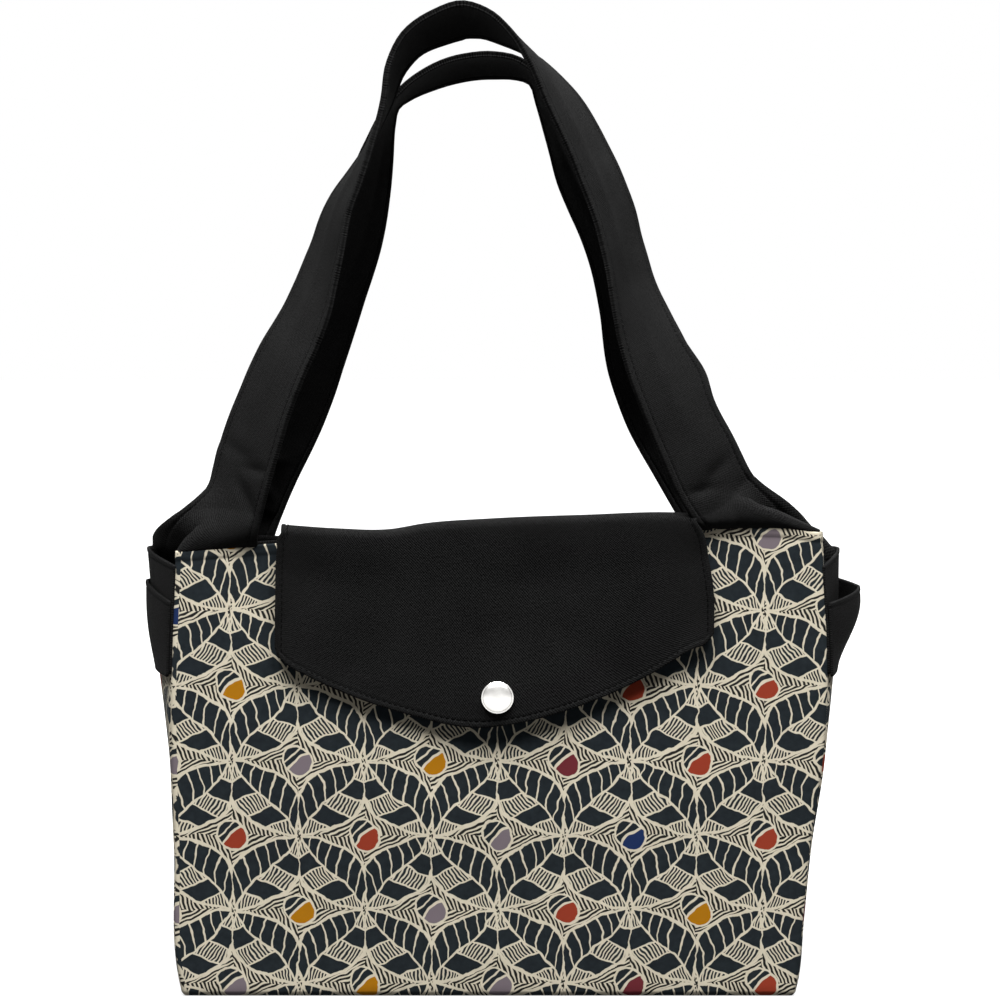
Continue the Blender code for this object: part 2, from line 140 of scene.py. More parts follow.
def normals_of(grid, closed=False):
    """Normals of a grid of points, rows first. closed joins the last column to the first."""
    if closed:
        wide = np.concatenate([grid[:, -1:], grid, grid[:, :1]], axis=1)
        across = wide[:, 2:] - wide[:, :-2]
    else:
        across = np.gradient(grid, axis=1)
    up = np.gradient(grid, axis=0)
    return unit(np.cross(across, up))


def running(grid, axis):
    """Distance along a grid's lines, averaged over the other way."""
    step = np.linalg.norm(np.diff(grid, axis=axis), axis=-1)
    return so_far(step.mean(axis=1 - axis))


def new_mesh(name, points, faces, maps, weld=False):
    """Mesh object from points, faces and the cloth map of each face's corners."""
    mesh = bpy.data.meshes.new(name)
    mesh.from_pydata([tuple(p) for p in points], [], faces)
    layer = mesh.uv_layers.new(name="cloth")
    flat = np.array([spot for face in maps for spot in face], dtype=np.float32)
    layer.data.foreach_set("uv", flat.ravel())
    if weld:
        shape = bmesh.new()
        shape.from_mesh(mesh)
        bmesh.ops.remove_doubles(shape, verts=shape.verts, dist=0.000002)
        shape.to_mesh(mesh)
        shape.free()
    mesh.shade_smooth()
    mesh.validate()
    made = bpy.data.objects.new(name, mesh)
    bpy.context.scene.collection.objects.link(made)
    return made


# Edge of a sheet as (place across its thickness, how far it stands out), both in half thicknesses
SINGLE_EDGE = ((0.7, 0.55), (0.0, 0.85), (-0.7, 0.55))
DOUBLE_EDGE = ((0.85, 0.45), (0.45, 0.60), (0.0, -0.25), (-0.45, 0.60), (-0.85, 0.45))
# Relief of a face that has none
LEVEL = np.zeros((1, 1))


def cloth(name, grid, thickness, cloth_map=None, relief=LEVEL, closed=False, keep=None,
          edge=SINGLE_EDGE, under_relief=LEVEL):
    """Thickened sheet with rounded edges. The reliefs raise its faces, keep says which cells stay."""
    rows, columns = grid.shape[:2]
    steps = columns if closed else columns - 1
    normal = normals_of(grid, closed)
    outer = grid + normal * (thickness / 2 + relief)[..., None]
    inner = grid - normal * (thickness / 2 + under_relief)[..., None]
    if cloth_map is None:
        cloth_map = np.stack(np.meshgrid(running(grid, 1), running(grid, 0)), axis=-1)
    keep = np.ones((rows - 1, steps), bool) if keep is None else keep
    count = rows * columns
    points = [outer.reshape(-1, 3), inner.reshape(-1, 3)]
    faces, maps, border = [], [], {}

    def spot(row, column):
        if closed and column == columns:
            return 2 * cloth_map[row, -1] - cloth_map[row, -2]
        return cloth_map[row, column]

    for row, column in zip(*np.nonzero(keep)):
        corners = [(row, column), (row, column + 1), (row + 1, column + 1), (row + 1, column)]
        spots = [spot(r, c) for r, c in corners]
        index = [r * columns + c % columns for r, c in corners]
        faces += [index, [count + i for i in reversed(index)]]
        maps += [spots, spots[::-1]]
        for k in range(4):
            a, b = index[k], index[(k + 1) % 4]
            if (b, a) in border:
                del border[(b, a)]
            else:
                border[(a, b)] = (spots[k], spots[(k + 1) % 4])

    # Each border point moves out along the sheet, square to the border
    middle, facing = grid.reshape(-1, 3), normal.reshape(-1, 3)
    outward = {}
    for a, b in border:
        push = unit(np.cross(middle[b] - middle[a], facing[a] + facing[b]))
        for i in (a, b):
            outward[i] = outward.get(i, 0) + push
    order = {i: place for place, i in enumerate(outward)}
    front, back = outer.reshape(-1, 3), inner.reshape(-1, 3)
    for across, out in edge:
        for i, push in outward.items():
            point = front[i] * (1 + across) / 2 + back[i] * (1 - across) / 2
            points.append((point + unit(push) * out * thickness / 2)[None])
    for (a, b), (spot_a, spot_b) in border.items():
        chain = [(a, b)]
        chain += [tuple(2 * count + layer * len(order) + order[i] for i in (a, b))
                  for layer in range(len(edge))]
        chain.append((count + a, count + b))
        for (p, q), (r, s) in zip(chain, chain[1:]):
            faces.append([q, p, r, s])
            maps.append([spot_b, spot_a, spot_a, spot_b])
    points = np.concatenate(points)
    used = sorted({i for face in faces for i in face})
    fresh = {old: place for place, old in enumerate(used)}
    return new_mesh(name, points[used], [[fresh[i] for i in face] for face in faces], maps)


def hem_relief(distance, depth=0.00055, width=0.0007, swell=0.00030, stitch=HEM_STITCH, fade=0.002):
    """Groove of a stitch line at its distance from an edge, with the hem a little raised."""
    groove = -depth * np.exp(-((distance - stitch) / width) ** 2)
    return groove + swell * (1 - smooth((distance - stitch) / fade))


def tube(base, rings, sides):
    """Faces between rings of points that follow each other from base."""
    faces = []
    for ring_index in range(rings - 1):
        for k in range(sides):
            a = base + ring_index * sides + k
            b = base + ring_index * sides + (k + 1) % sides
            faces.append([a, b, b + sides, a + sides])
    return faces


def stitches(name, lines):
    """Thread stitches along lines of (points, normals), each a small bent capsule."""
    points, faces = [], []
    rings = len(STITCH_PROFILE)
    for spots, ups in lines:
        length = so_far(np.linalg.norm(np.diff(spots, axis=0), axis=1))

        def at(where, values):
            return np.array([np.interp(where, length, values[:, k]) for k in range(3)])

        for place in np.arange(STITCH_STEP * 0.6, length[-1] - STITCH_STEP * 0.5, STITCH_STEP):
            centre = at(place, spots)
            along = unit(at(place + 0.001, spots) - at(place - 0.001, spots))
            side = unit(np.cross(along, unit(at(place, ups))))
            up = np.cross(side, along)
            base = len(points)
            for share, fat in STITCH_PROFILE:
                sink = -STITCH_SINK * (2 * share) ** 2
                for k in range(STITCH_SIDES):
                    angle = 2 * math.pi * k / STITCH_SIDES
                    out = side * math.cos(angle) * 1.25 + up * math.sin(angle)
                    points.append(centre + along * share * STITCH_LENGTH + up * sink
                                  + out * STITCH_RADIUS * fat)
            faces += tube(base, rings, STITCH_SIDES)
            faces.append([base + k for k in reversed(range(STITCH_SIDES))])
            faces.append([base + (rings - 1) * STITCH_SIDES + k for k in range(STITCH_SIDES)])
    maps = [[tuple(points[i][:2]) for i in face] for face in faces]
    return new_mesh(name, points, faces, maps)


def finish_piece(piece, finish, body, *nodes):
    """Finish (a material and its slot), body and the solids that a piece stands for. The slot is not
    used, and a body that is not a name only leaves the piece in the frame's space.
    """
    material, slot_name = finish
    piece.data.materials.append(material)
    if isinstance(body, str):
        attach(piece, body)
    else:
        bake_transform(piece)
    if nodes:
        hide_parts(*nodes)


# Materials

# Half width of the soft border of a printed line
INK_EDGE = 0.00016


def feed(slot, value):
    """Sets an input to a number or colour, or links it to a field or an output."""
    value = value.socket if isinstance(value, Field) else value
    if isinstance(value, bpy.types.NodeSocket):
        slot.id_data.links.new(value, slot)
    else:
        slot.default_value = value


def new_node(tree, kind, inputs, **settings):
    """Node with its settings, and with its inputs fed by name or number."""
    node = tree.nodes.new("ShaderNode" + kind)
    for name, value in settings.items():
        setattr(node, name, value)
    for name, value in inputs.items():
        feed(node.inputs[name], value)
    return node


def math_method(operation):
    """Method of Field that adds one Math node."""
    def method(self, *others):
        node = new_node(self.tree, "Math", dict(enumerate((self, *others))), operation=operation)
        return Field(node.outputs[0])
    return method


class Field:
    """A number worked out at every point of a surface by a chain of nodes."""

    def __init__(self, socket):
        self.socket, self.tree = socket, socket.id_data

    __add__, __sub__ = math_method("ADD"), math_method("SUBTRACT")
    __mul__, __truediv__ = math_method("MULTIPLY"), math_method("DIVIDE")
    absolute, floor = math_method("ABSOLUTE"), math_method("FLOOR")
    fract, sine, root = math_method("FRACT"), math_method("SINE"), math_method("SQRT")
    smaller, larger = math_method("MINIMUM"), math_method("MAXIMUM")

    def inverse(self):
        return (self * -1.0) + 1.0

    def waves(self, pitch):
        return (self * (2 * math.pi / pitch)).sine()

    def centred(self, step):
        """Distance from the middle of each step."""
        return ((self / step).fract() - 0.5) * step

    def below(self, edge, soft=INK_EDGE):
        """1 where the number is under edge, 0 over it, with a soft border."""
        inputs = {"Value": self, "From Min": edge - soft, "From Max": edge + soft,
                  "To Min": 1.0, "To Max": 0.0}
        node = new_node(self.tree, "MapRange", inputs, interpolation_type="SMOOTHSTEP")
        return Field(node.outputs["Result"])


def colour_of(red, green, blue):
    """Screen colour, 0 to 255, as linear light."""
    return tuple((c / 255 / 12.92 if c <= 10 else ((c / 255 + 0.055) / 1.055) ** 2.4)
                 for c in (red, green, blue)) + (1.0,)


# Pitch of the twill's ribs and of the plain cloths' threads
TWILL_PITCH = 0.0014
PLAIN_PITCH = 0.00085


class Surface:
    """A material in the making. where is a place in metres, on the flat cloth or in space."""

    def __init__(self, name, inputs, flat=True):
        self.material = bpy.data.materials.new(name)
        self.material.use_nodes = True
        self.tree = self.material.node_tree
        self.set(inputs)
        if flat:
            self.where = self.node("UVMap", {}, uv_map="cloth").outputs["UV"]
            split = self.node("SeparateXYZ", {0: self.where})
            self.u, self.v = Field(split.outputs["X"]), Field(split.outputs["Y"])
        else:
            self.where = self.node("TexCoord", {}).outputs["Object"]

    def node(self, kind, inputs, **settings):
        return new_node(self.tree, kind, inputs, **settings)

    def set(self, inputs):
        """Feeds the shader's own inputs."""
        for name, value in inputs.items():
            feed(self.tree.nodes["Principled BSDF"].inputs[name], value)

    def grain(self, size, detail=2.0):
        """Noise of about 0 to 1 with swells of that size in metres."""
        inputs = {"Vector": self.where, "Scale": 1.0 / size, "Detail": detail}
        return Field(self.node("TexNoise", inputs).outputs["Fac"])

    def mixed(self, share, low, high):
        """Colour between low and high, each a colour or an output."""
        inputs = {"Factor": share, "A": low, "B": high}
        return self.node("Mix", inputs, data_type="RGBA").outputs["Result"]

    def bump(self, height, strength, distance):
        inputs = {"Strength": strength, "Distance": distance, "Height": height}
        self.set({"Normal": self.node("Bump", inputs).outputs["Normal"]})

    def plain_weave(self):
        """Threads over and under each other, from 0 to 1."""
        return self.u.waves(PLAIN_PITCH) * self.v.waves(PLAIN_PITCH) * 0.5 + 0.5


def twill_material(name, dark, light):
    """Black cotton twill: diagonal ribs, cross threads, lint and faint fading."""
    skin = Surface(name, {"Roughness": 0.90, "Sheen Weight": 0.003, "Sheen Roughness": 0.55,
                          "Specular IOR Level": 0.02})
    wobble = skin.grain(0.005) * 0.0009
    ribs = (skin.u + skin.v + wobble).waves(TWILL_PITCH) * 0.5 + 0.5
    cross = (skin.u - skin.v + wobble).waves(TWILL_PITCH) * 0.5 + 0.5
    weave = ribs * 0.6 + cross * 0.4
    lint = (skin.grain(0.0011, 3.0) - 0.5) * 2.4 + 0.5
    fade = (skin.grain(0.030, 4.0) - 0.5) * 2.0 + 0.5
    share = weave * 0.80 + lint * 0.50 + fade * 0.20 - 0.26
    skin.set({"Base Color": skin.mixed(share.larger(0.0).smaller(1.0), dark, light)})
    skin.bump(weave * 0.8 + lint * 0.5, 0.9, 0.00030)
    return skin.material


def lining_material():
    """Dark plain-woven lining, faintly mottled."""
    skin = Surface("lining_cloth", {"Roughness": 0.78, "Sheen Weight": 0.10})
    weave = skin.plain_weave()
    share = weave * 0.4 + skin.grain(0.03, 3.0) * 0.6
    skin.set({"Base Color": skin.mixed(share, colour_of(26, 26, 29), colour_of(46, 46, 50))})
    skin.bump(weave, 0.4, 0.00015)
    return skin.material


# Layout of the print: cells of leaves set on alternate diagonals, seeds between them
CELL_WIDTH = 0.0370
CELL_HEIGHT = 0.0420
LEAF_HALF_LENGTH = 0.0258
LEAF_HALF_WIDTH = 0.0150
OUTLINE = 0.0015
SEED_RADIUS = 0.0078
# Steps of its repeated lines, and the widths of their ink
VEIN_STEP = 0.0074
BLOCK_STEP = VEIN_STEP * 1.5
HATCH_STEP = 0.0021
VEIN_INK = 0.00100
PEN_INK = 0.00108
GROUND_INK = 0.00118


def leaf_fields(u, v, jitter):
    """Along, across and rim fields of the leaf in each cell, on alternate diagonals."""
    odd = (((u / CELL_WIDTH).floor() + (v / CELL_HEIGHT).floor()) * 0.5).fract() * 2.0
    mirror = odd * -2.0 + 1.0
    x, y = u.centred(CELL_WIDTH) * mirror, v.centred(CELL_HEIGHT)
    tilt = math.atan2(CELL_HEIGHT, CELL_WIDTH)
    along = x * math.cos(tilt) + y * math.sin(tilt)
    across = y * math.cos(tilt) - x * math.sin(tilt)
    across = across + (along * 150.0).sine() * 0.0014
    reach = along / LEAF_HALF_LENGTH
    body = reach * reach
    rim = (across.absolute() / LEAF_HALF_WIDTH + body - 1.0) * LEAF_HALF_WIDTH * 0.86 + jitter
    return along, across, rim, odd


def hatching(coordinate, step, ink):
    """Parallel lines of that width and step: 1 on the ink."""
    return coordinate.centred(step).absolute().below(ink / 2)


def print_material():
    """Block-printed canvas: dark leaves with cream veins, hatched ground, coloured seeds."""
    skin = Surface("printed_canvas", {"Roughness": 0.90, "Sheen Weight": 0.01,
                                      "Specular IOR Level": 0.06})
    wobble_u = (skin.grain(0.011) - 0.5) * 0.0050
    wobble_v = (skin.grain(0.0135) - 0.5) * 0.0050
    bleed = (skin.grain(0.0022) - 0.5) * 0.0007
    pu, pv = skin.u + wobble_u + 1.0, skin.v + wobble_v + 1.0
    along, across, rim, odd = leaf_fields(pu, pv, bleed)

    # Ribs of the leaf: swept veins on its upper half, blocks on its lower half
    upper = across.below(0.0).inverse()
    veins = hatching(along - across.absolute() * 0.95 + across * across * 22.0, VEIN_STEP, VEIN_INK)
    block = along + across * 0.30
    seams = hatching(block, BLOCK_STEP, PEN_INK)
    lined = ((block / BLOCK_STEP + 0.5).floor() * 0.5).fract().below(0.25, 0.01)
    pen = hatching(along * 0.30 - across, HATCH_STEP * 0.92, PEN_INK)
    lower_ink = seams.inverse() * (lined.inverse() + lined * pen).smaller(1.0)
    ink = upper * veins.inverse() + upper.inverse() * lower_ink
    midrib = (across + along * 0.03).absolute().below(0.00062)
    leaf = rim.below(0.0) * midrib.inverse() * ink

    # Ground of pen lines, turned in alternate cells, kept off the leaf by a cream outline
    ground = (hatching(pu * 0.93 + pv * 0.36, HATCH_STEP, GROUND_INK) * odd
              + hatching(pu * 0.45 - pv * 0.89, HATCH_STEP, GROUND_INK) * odd.inverse())
    ground = ground * rim.below(OUTLINE).inverse()

    # Seeds on the free corners of the cells: half coloured, half dark with a stripe
    corner_u, corner_v = pu / CELL_WIDTH + 0.5, pv / CELL_HEIGHT + 0.5
    free = ((corner_u.floor() + corner_v.floor()) * 0.5).fract() * 2.0
    sx = (corner_u.fract() - 0.5) * CELL_WIDTH
    sy = (corner_v.fract() - 0.5) * CELL_HEIGHT
    lean = sx * 0.74 + sy * 0.67
    side = sy * 0.74 - sx * 0.67
    far = (lean * lean * 1.25 + side * side * 0.80).root() + bleed + free.inverse()
    seed = far.below(SEED_RADIUS)
    halo = far.below(SEED_RADIUS + OUTLINE * 0.8)
    split = side + lean * lean * 30.0
    coloured = seed * split.below(0.0006)
    stripe = (side - 0.0046).absolute().below(0.00045)
    dark_half = seed * split.below(0.0020).inverse() * stripe.inverse()

    # One of five colours for each seed
    cell = skin.node("CombineXYZ", {0: corner_u.floor(), 1: corner_v.floor()})
    pick = skin.node("TexWhiteNoise", {"Vector": cell.outputs[0]}, noise_dimensions="2D")
    ramp = skin.node("ValToRGB", {"Fac": pick.outputs["Value"]})
    ramp.color_ramp.interpolation = "CONSTANT"
    accents = (colour_of(160, 106, 16), colour_of(138, 54, 36), colour_of(100, 40, 46),
               colour_of(28, 44, 82), colour_of(112, 102, 108))
    elements = ramp.color_ramp.elements
    while len(elements) < len(accents):
        elements.new(0.5)
    for place, colour in enumerate(accents):
        elements[place].position = place / len(accents)
        elements[place].color = colour

    mottle = skin.grain(0.004, 4.0)
    slate = skin.mixed(mottle, colour_of(20, 25, 28), colour_of(38, 44, 48))
    cream = skin.mixed(mottle, colour_of(190, 181, 160), colour_of(210, 202, 182))
    print_colour = cream
    for share, paint in ((ground, colour_of(30, 29, 28)), (leaf, slate), (halo, cream),
                         (dark_half, slate), (coloured, ramp.outputs["Color"])):
        print_colour = skin.mixed(share, print_colour, paint)
    skin.set({"Base Color": print_colour})
    skin.bump(skin.plain_weave() + skin.grain(0.0025) * 0.8, 0.4, 0.00018)
    return skin.material


def board_material():
    skin = Surface("board", {"Roughness": 0.9})
    fibres = skin.grain(0.003, 4.0)
    skin.set({"Base Color": skin.mixed(fibres, colour_of(150, 130, 100), colour_of(180, 160, 128))})
    return skin.material


def metal_material(name, roughness):
    """Nickel plate with a faint haze and fine unevenness."""
    skin = Surface(name, {"Metallic": 1.0}, flat=False)
    haze, fine = skin.grain(0.004, 3.0), skin.grain(0.0006)
    skin.set({"Base Color": skin.mixed(haze, colour_of(214, 212, 208), colour_of(240, 239, 236)),
              "Roughness": haze * 0.14 + fine * 0.05 + (roughness - 0.08)})
    skin.bump(fine + haze * 2.0, 0.12, 0.0002)
    return skin.material


# Finishes as (material, slot of the record)
BLACK = twill_material("black_twill", colour_of(2, 2, 2), colour_of(34, 34, 34)), "black_twill"
# The stitches' thread is black, and is made darker than the cloth as painted shade of the stitch groove
# and needle holes
THREAD_WITH_PAINTED_SHADE = twill_material("black_thread_painted_shade", colour_of(2, 2, 2), colour_of(10, 10, 10)), "black_twill"
PRINT = print_material(), "printed_canvas"
LINING_CLOTH = lining_material(), "lining_cloth"
BOARD = board_material()
NICKEL = metal_material("snap_metal", 0.36)


# Scene: camera at the photograph's place, white floor and surround, soft light
WHITE = (1.0, 1.0, 1.0, 1.0)
CAMERA_TILT = 0.0819
# Lamps as (name, place, size, power), and the place on the bag that they aim at
LAMPS = (("key", (-0.85, -1.30, 4.1), 1.4, 350), ("fill", (1.10, -1.20, 3.9), 1.4, 275),
         ("back", (0.3, 1.9, 3.2), 1.6, 120))
AIM = Vector((0, 0, 0.2))
FLOOR_REACH = 9

scene = bpy.context.scene
scene.view_settings.view_transform = "Standard"
camera_data = bpy.data.cameras.new("camera")
camera_data.lens = 98.15
camera = bpy.data.objects.new("camera", camera_data)
camera.location = (0.0004, -1.558, 0.4025)
camera.rotation_euler = (math.pi / 2 - CAMERA_TILT, 0, 0)
scene.collection.objects.link(camera)
scene.camera = camera

# The surround is bright to the camera, dimmer to gloss, and lights the bag very little
world = bpy.data.worlds.new("world")
scene.world = world
world.use_nodes = True
background = world.node_tree.nodes["Background"].inputs
rays = new_node(world.node_tree, "LightPath", {}).outputs
feed(background["Color"], WHITE)
feed(background["Strength"],
     Field(rays["Is Camera Ray"]) * 0.96 + Field(rays["Is Glossy Ray"]) * 0.50 + 0.04)

for name, place, size, power in LAMPS:
    data = bpy.data.lights.new(name, "AREA")
    data.size = size
    data.energy = power
    lamp = bpy.data.objects.new(name, data)
    lamp.location = place
    lamp.rotation_euler = (AIM - Vector(place)).to_track_quat("-Z", "Y").to_euler()
    scene.collection.objects.link(lamp)


def build_floor():
    """White floor that keeps the bag's soft contact shadow and throws little light back."""
    mesh = bpy.data.meshes.new("floor")
    corners = [(x * FLOOR_REACH, y * FLOOR_REACH, 0) for x, y in ((-1, -1), (1, -1), (1, 1), (-1, 1))]
    mesh.from_pydata(corners, [], [(0, 1, 2, 3)])
    floor = bpy.data.objects.new("floor", mesh)
    scene.collection.objects.link(floor)
    skin = Surface("floor", {"Roughness": 0.85, "Emission Color": WHITE}, flat=False)
    length = skin.node("VectorMath", {0: skin.where}, operation="LENGTH")
    glow = skin.node("MapRange", {"Value": length.outputs["Value"], "From Min": 0.10,
                                  "From Max": 0.80, "To Min": 0.66, "To Max": 1.0},
                     interpolation_type="SMOOTHSTEP")
    rays = skin.node("LightPath", {}).outputs
    seen = Field(rays["Is Camera Ray"]) + Field(rays["Is Glossy Ray"])
    skin.set({"Emission Strength": Field(glow.outputs["Result"]) * seen,
              "Base Color": skin.mixed(seen, (0.03, 0.03, 0.03, 1.0), (0.20, 0.20, 0.20, 1.0))})
    mesh.materials.append(skin.material)


build_floor()


# Body: one lofted shell of canvas, left (-1) and right (1) edges as (height, across)
SIDE_EDGES = {
    -1: ((0.000, -0.1778), (0.004, -0.1788), (0.084, -0.1820), (0.179, -0.1828), (0.255, -0.1792)),
    1: ((0.000, 0.1657), (0.004, 0.1668), (0.044, 0.1709), (0.084, 0.1745), (0.134, 0.1812),
        (0.174, 0.1832), (0.262, 0.1783))}
# Top of the front panel as (across, height)
FRONT_EDGE = ((-0.1792, 0.2505), (-0.1222, 0.2548), (-0.0300, 0.2592), (0.0700, 0.2622),
              (0.1126, 0.2634), (0.1700, 0.2626), (0.1783, 0.2612))
# Outward fold of the ends: where it starts, how round it is and how far it stands out
FOLD_START = 0.080
FOLD_SHAPE = 1.45
FOLDS = {-1: 0.0222, 1: 0.0152}
# Height of the bands' rims at the corners and on the fold
RIM_CORNER = {-1: 0.2428, 1: 0.2424}
RIM_RIDGE = {-1: 0.2475, 1: 0.2470}
# Swell of the front and back, and size of the rounding at the corners and at the foot
BELLY = 0.0016
CORNER = 0.0028
BASE_ROUND = 0.0036
# The walls grow uneven over this height from the floor
CALM_HEIGHT = 0.03
# Columns of the body's outline: front, corner, right end, corner, back, corner, left end, corner
FRONT_COLUMNS = 90
CORNER_COLUMNS = 3
END_COLUMNS = 35
STARTS = so_far([FRONT_COLUMNS, CORNER_COLUMNS, END_COLUMNS, CORNER_COLUMNS] * 2)
RING = STARTS[-1]


def edge_of(side, height):
    return table(SIDE_EDGES[side], height)


def front_top(across):
    return table(FRONT_EDGE, across)


def back_top(across):
    return BACK_TOP + 0.0006 * np.sin(across * 31.0) + 0.0004 * np.sin(across * 74.0)


def ridge(depth, power=1.3):
    """1 on an end's fold, falling to 0 at its corners."""
    return 1 - np.minimum(1.0, np.abs(depth) / HALF_DEPTH) ** power


def rim_top(side, depth):
    """Height of an end band's rim, highest on its fold."""
    return RIM_CORNER[side] + (RIM_RIDGE[side] - RIM_CORNER[side]) * ridge(depth)


def rumple(points, amount):
    """Soft unevenness of hanging cloth."""
    return (ripple(points, 0.095, 3) * 0.7 + ripple(points, 0.034, 5) * 0.3) * amount


def face_point(side, across, height, inset):
    """Front (-1) or back (+1) wall at a place across and a height."""
    left, right = edge_of(-1, height), edge_of(1, height)
    share = np.clip((across - left) / (right - left), 0.0, 1.0)
    swell = np.sin(np.pi * np.clip(height / FRONT_TOP, 0, 1)) * np.sin(np.pi * share)
    calm = np.sin(np.pi * share) ** 0.5 * smooth(height / CALM_HEIGHT) * 0.0011
    depth = HALF_DEPTH - inset + BELLY * swell + rumple(xyz(across, side, height), calm)
    return xyz(across, side * depth, height)


def end_point(side, depth, height, inset):
    """Left (-1) or right (+1) end wall with its outward fold."""
    rise = np.maximum(0.0, height - FOLD_START) / (RIM_RIDGE[side] - FOLD_START)
    reach = edge_of(side, height) + side * (FOLDS[side] * rise * ridge(depth, FOLD_SHAPE) - inset)
    calm = (1 - (depth / HALF_DEPTH) ** 2) * smooth(height / CALM_HEIGHT) * 0.0010
    return xyz(reach + rumple(xyz(side * 2.0, depth, height), calm), depth, height)


def ring(height, inset):
    """Rows of closed outlines of the body. height has a value for every row and column."""
    depth = HALF_DEPTH - inset

    def wall(side, z):
        low, high = edge_of(-1, z) + inset + CORNER, edge_of(1, z) - inset - CORNER
        return face_point(side, low + (high - low) * np.linspace(0, 1, FRONT_COLUMNS)[::-side], z, inset)

    def end(side, z):
        return end_point(side, np.linspace(-1, 1, END_COLUMNS)[::side] * (depth - CORNER), z, inset)

    def corner(side_x, side_y, z):
        return xyz(edge_of(side_x, z) - side_x * inset, side_y * depth, z)

    makers = ((wall, -1), (corner, 1, -1), (end, 1), (corner, 1, 1),
              (wall, 1), (corner, -1, 1), (end, -1), (corner, -1, -1))
    parts = [maker(*sides, height[:, first:last])
             for (maker, *sides), first, last in zip(makers, STARTS, STARTS[1:])]
    for k in (1, 3, 5, 7):
        before, after = parts[k - 1][:, -1], parts[(k + 1) % 8][:, 0]
        tip = parts[k][:, 1].copy()
        for step, t in enumerate((0.25, 0.5, 0.75)):
            bend = before * (1 - t) ** 2 + tip * 2 * t * (1 - t) + after * t ** 2
            bend[:, 2] = parts[k][:, step, 2]
            parts[k][:, step] = bend
    return np.concatenate(parts, axis=1)


def ring_tops(front, back, ends):
    """Top height of every column from functions of the place across, or of depth."""
    across = np.linspace(-0.179, 0.179, FRONT_COLUMNS)
    depth = np.linspace(-HALF_DEPTH, HALF_DEPTH, END_COLUMNS)
    fronts, backs = front(across), back(across[::-1])
    corners = [np.full(CORNER_COLUMNS, top) for top in (fronts[-1], backs[0], backs[-1], fronts[0])]
    return np.concatenate([fronts, corners[0], ends(1, depth), corners[1],
                           backs, corners[2], ends(-1, depth[::-1]), corners[3]])


# Rows under the top edge, the stitch line there, and where the ends' walls stop behind the bands
HEM_ROWS = np.array([0.0, 0.0006, 0.0014, 0.0026, 0.0040, 0.0050, 0.0055, 0.0060, 0.0070, 0.0086])
TOP_STITCH = 0.0055
WALL_TOP = BAND_BOTTOM + 0.008
# How far the shell's lip lies in under the base, places across on its flat cloth, and the column
# that its length under the walls is measured on
LIP = (0.0078, 0.0064, 0.0050)
END_CLOTH = 0.184 + HALF_DEPTH
BACK_CLOTH = 0.49
MEASURED_COLUMN = 40


def build_shell():
    """Printed canvas: round the base's edge, up the four walls, open above the bands."""
    panel_tops = ring_tops(front_top, back_top, lambda side, depth: np.full_like(depth, 0.2500))
    share = np.linspace(0, 1, 74)[:-1]
    low = BASE_ROUND + (panel_tops - HEM_ROWS[-1] - BASE_ROUND) * share[:, None]
    height = np.concatenate([low, panel_tops - HEM_ROWS[::-1, None]])
    inset = CANVAS / 2
    walls = ring(height, inset)
    start = walls[0]
    inward = np.roll(start, -1, axis=0) - np.roll(start, 1, axis=0)
    inward = unit(xyz(-inward[:, 1], inward[:, 0], 0.0))
    radius = BASE_ROUND - inset
    turns = [(move, inset) for move in LIP]
    turns += [(radius * (1 - math.cos(angle)), BASE_ROUND - radius * math.sin(angle))
              for angle in np.linspace(math.pi / 2, 0, 6)[:-1]]
    foot = []
    for move, z in turns:
        spot = start + inward * move
        spot[:, 2] = z
        foot.append(spot)
    grid = np.concatenate([foot, walls])
    rows, under = len(grid), len(foot)

    # Flat cloth: places across on the walls, distances round the ends
    flat = grid[..., [0, 2]]
    right, left = slice(STARTS[1] + 2, STARTS[3] + 1), slice(STARTS[5] + 1, RING)
    back = slice(STARTS[4], STARTS[5] + 1)
    flat[:, right, 0] = END_CLOTH + grid[:, right, 1]
    flat[:, back, 0] = BACK_CLOTH - grid[:, back, 0]
    flat[:, left, 0] = -END_CLOTH - grid[:, left, 1]
    run = so_far(np.linalg.norm(np.diff(grid[:, MEASURED_COLUMN], axis=0), axis=1))
    flat[:under, :, 1] = (run[:under] - run[under])[:, None] + grid[under, :, 2]

    below = np.concatenate([np.full((under, RING), 0.2), panel_tops - height])
    relief = hem_relief(below, 0.00045, 0.0011, 0.00035, TOP_STITCH, 0.0015)
    for seam in (STARTS[1] + 2, STARTS[3], STARTS[5] + 2, STARTS[7]):
        relief[:, seam] -= 0.0006
    keep = np.ones((rows - 1, RING), bool)
    for first, last in ((STARTS[1] + 2, STARTS[3] + 1), (STARTS[5] + 2, STARTS[7] + 1)):
        keep[:, first:last] = grid[:-1, first:last, 2] <= WALL_TOP
    shell = cloth("canvas_shell", grid, CANVAS, flat, relief, closed=True, keep=keep)
    finish_piece(shell, PRINT, "root", "front_panel", "back_panel", "left_gusset", "right_gusset")


def floor_places(height, margin, columns, rows):
    """Places across and in depth over the bag's floor, in from its outline by a margin."""
    across, depth = np.meshgrid(np.linspace(0, 1, columns), np.linspace(-1, 1, rows))
    left, right = edge_of(-1, height) + margin, edge_of(1, height) - margin
    return left + (right - left) * across, depth * (HALF_DEPTH - margin)


def build_base():
    """Printed base, sewn inside the lip of the shell."""
    x, y = floor_places(0.004, 0.0096, 40, 14)
    base = cloth("base_cloth", xyz(x, -y, CANVAS / 2), CANVAS, np.stack([x + 0.02, y], axis=-1))
    finish_piece(base, PRINT, "root", "base_panel")


# Bands and pockets: columns, a band's drop, and heights of a pocket's seam
BAND_COLUMNS = 49
BAND_DROP = 0.070
SEAM_HEIGHT = 0.1812
SEAM_DIP = 0.0020
# Left (-1) and right (1) pocket's mouth: how far it stands open, its height at the corners and on
# the fold, and how much it rises towards the back
POCKETS = {-1: (0.0006, 0.2226, 0.2285, 0.0), 1: (0.0105, 0.2216, 0.2250, 0.0045)}


